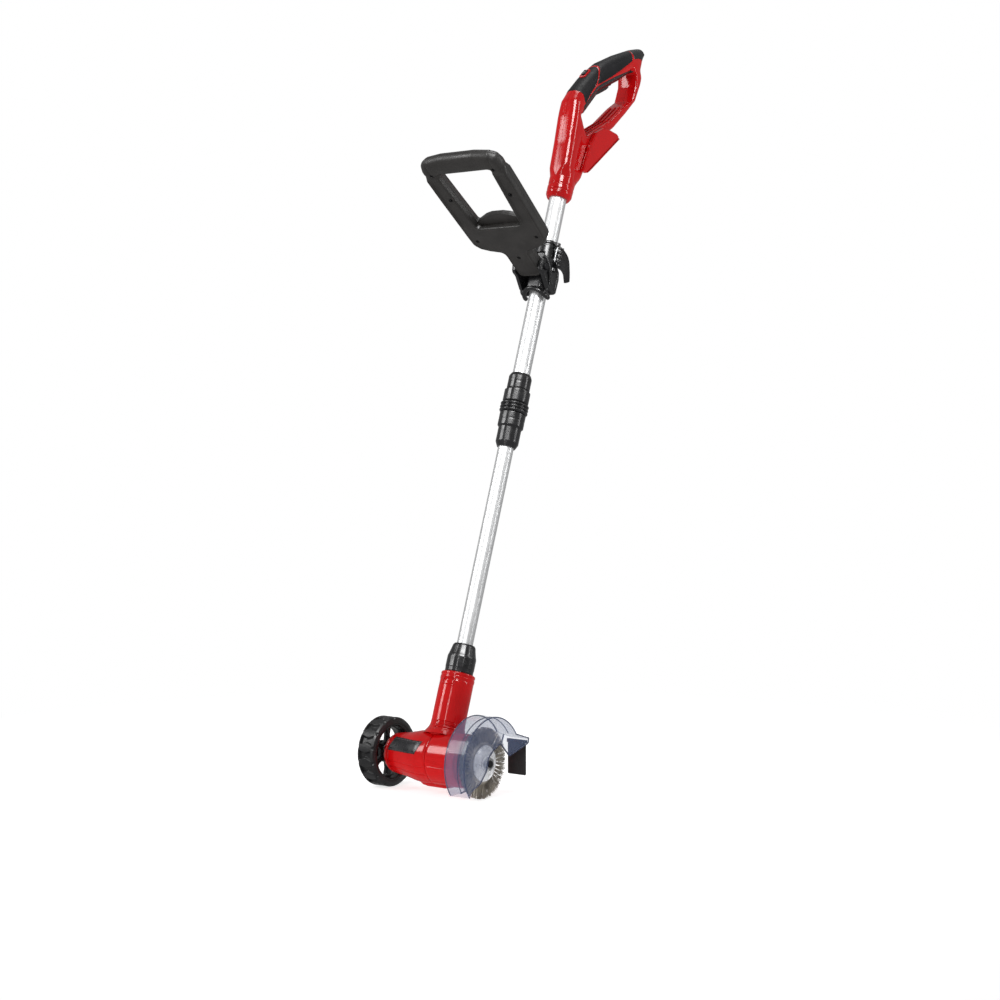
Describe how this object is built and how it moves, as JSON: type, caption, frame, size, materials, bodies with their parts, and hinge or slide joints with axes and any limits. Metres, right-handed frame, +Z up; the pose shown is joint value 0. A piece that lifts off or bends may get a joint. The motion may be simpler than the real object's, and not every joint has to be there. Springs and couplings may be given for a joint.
{
  "type": "cordless joint brush edger",
  "caption": "Long-handled cordless edge and joint cleaner: a wire brush wheel under a clear guard beside a guide wheel, on a telescopic pole with a loop handle and a battery dock.",
  "frame": {"origin": "middle of the rear hand grip, on the tool's centre plane, where the operator's hand holds it", "axes": "+Z up; X along the brush spindle, wheel at -X and brush at +X; the operator stands at +Y and the pole leans back towards +Y"},
  "size_m": [0.2075, 0.58, 1.1239],
  "materials": {
    "red_shell": "glossy moulded shell, fine part lines",
    "black_plastic": "satin black moulding",
    "handle_black": "fine-textured black moulding",
    "soft_grip": "soft over-moulded grip, faint grain",
    "tube_alloy": "satin drawn tube",
    "tyre_rubber": "moulded tread",
    "flap_rubber": "sheet rubber",
    "clear_guard": "smoky see-through plastic",
    "zinc_plate": "bright zinc plate",
    "bristle_steel": "packed steel wire",
    "bright_steel": "machined",
    "gear_steel": "oiled gear steel",
    "inner_plastic": "natural inner moulding"
  },
  "bodies": {
    "upper": {"upper_tube": "tube_alloy", "coupling_sleeve": "black_plastic", "coupling_ring": "black_plastic", "coupling_collet": "inner_plastic", "handle_shell_left": "red_shell", "handle_shell_right": "red_shell", "handle_grip": "soft_grip", "handle_cap": "black_plastic", "battery_dock": "red_shell", "terminal_block": "black_plastic", "switch_block": "inner_plastic"},
    "head": {"lower_tube": "tube_alloy", "neck": "red_shell", "neck_collet": "inner_plastic", "motor_housing": "red_shell", "gear_housing": "red_shell", "gearbox_nose": "black_plastic", "nose_screw_1": "bright_steel", "nose_screw_2": "bright_steel", "gearbox_plate": "bright_steel", "output_bearing": "bright_steel", "housing_screw": "bright_steel", "name_plate": "black_plastic", "motor_can": "bright_steel", "ring_gear": "inner_plastic", "wheel_axle": "bright_steel", "axle_nut": "bright_steel", "brush_guard": "clear_guard", "flap_clip": "black_plastic", "splash_flap": "flap_rubber"},
    "neck_nut": {"neck_nut": "black_plastic"},
    "coupling_nut": {"coupling_nut": "black_plastic"},
    "wheel": {"wheel_tyre": "tyre_rubber", "wheel_rim": "black_plastic", "hub_cap": "black_plastic"},
    "brush": {"planet_carrier": "gear_steel", "output_spindle": "bright_steel", "spindle_flange": "zinc_plate", "brush_plate_inner": "zinc_plate", "wire_bristles": "bristle_steel", "brush_plate_outer": "zinc_plate", "brush_washer": "zinc_plate", "brush_nut": "zinc_plate"},
    "motor_rotor": {"motor_shaft": "bright_steel", "motor_pinion": "gear_steel"},
    "planet_1": {"planet_gear_1": "gear_steel"},
    "planet_2": {"planet_gear_2": "gear_steel"},
    "planet_3": {"planet_gear_3": "gear_steel"},
    "clamp": {"aux_clamp": "black_plastic", "lever_pin": "bright_steel", "aux_pivot_bolt": "bright_steel"},
    "aux_handle": {"aux_shell_lower": "handle_black", "aux_shell_upper": "handle_black"},
    "lever": {"clamp_lever": "black_plastic"},
    "trigger": {"trigger": "black_plastic"},
    "lock_button": {"lock_button": "black_plastic"}
  },
  "joints": [
    {"name": "telescope_slide", "type": "slide", "parent": "upper", "child": "head", "axis": [0, 0.3322, 0.9432], "range_m": [-0.08, 0.2]},
    {"name": "brush_spin", "type": "hinge", "parent": "head", "child": "brush", "pos_m": [0, -0.42463, -1.02516], "axis": [1, 0, 0], "continuous": true},
    {"name": "motor_spin", "type": "hinge", "parent": "head", "child": "motor_rotor", "pos_m": [0, -0.42463, -1.02516], "axis": [1, 0, 0], "continuous": true},
    {"name": "planet_1_spin", "type": "hinge", "parent": "brush", "child": "planet_1", "pos_m": [-0.015, -0.40963, -1.02516], "axis": [1, 0, 0], "continuous": true},
    {"name": "planet_2_spin", "type": "hinge", "parent": "brush", "child": "planet_2", "pos_m": [-0.015, -0.43213, -1.01217], "axis": [1, 0, 0], "continuous": true},
    {"name": "planet_3_spin", "type": "hinge", "parent": "brush", "child": "planet_3", "pos_m": [-0.015, -0.43213, -1.03815], "axis": [1, 0, 0], "continuous": true},
    {"name": "wheel_spin", "type": "hinge", "parent": "head", "child": "wheel", "pos_m": [-0.0995, -0.42463, -1.02516], "axis": [1, 0, 0], "continuous": true},
    {"name": "neck_nut_turn", "type": "hinge", "parent": "head", "child": "neck_nut", "pos_m": [0, -0.37763, -0.8917], "axis": [0, 0.3322, 0.9432], "range_deg": [0, 90]},
    {"name": "coupling_nut_turn", "type": "hinge", "parent": "upper", "child": "coupling_nut", "pos_m": [0, -0.26187, -0.56298], "axis": [0, 0.3322, 0.9432], "range_deg": [-60, 0]},
    {"name": "aux_clamp_slide", "type": "slide", "parent": "upper", "child": "clamp", "axis": [0, 0.3322, 0.9432], "range_m": [-0.1, 0.06]},
    {"name": "aux_tilt", "type": "hinge", "parent": "clamp", "child": "aux_handle", "pos_m": [0, -0.20845, -0.32098], "axis": [1, 0, 0], "range_deg": [-15, 15]},
    {"name": "lever_swing", "type": "hinge", "parent": "clamp", "child": "lever", "pos_m": [0.024, -0.18004, -0.30502], "axis": [0, 0.3322, 0.9432], "range_deg": [-110, 0]},
    {"name": "trigger_pull", "type": "hinge", "parent": "upper", "child": "trigger", "pos_m": [0, -0.01213, -0.02541], "axis": [1, 0, 0], "range_deg": [-2.5, 0], "stiffness_Nm_per_rad": 0.6, "springref_deg": 4.58},
    {"name": "lock_slide", "type": "slide", "parent": "upper", "child": "lock_button", "axis": [0, 0.791, 0.6118], "range_m": [0, 0.0025], "stiffness_N_per_m": 150, "springref_m": -0.002}
  ],
  "couplings": [
    {"joint": "motor_spin", "follows": "brush_spin", "ratio": 5},
    {"joint": "planet_1_spin", "follows": "brush_spin", "ratio": -2.6667},
    {"joint": "planet_2_spin", "follows": "brush_spin", "ratio": -2.6667},
    {"joint": "planet_3_spin", "follows": "brush_spin", "ratio": -2.6667}
  ]
}
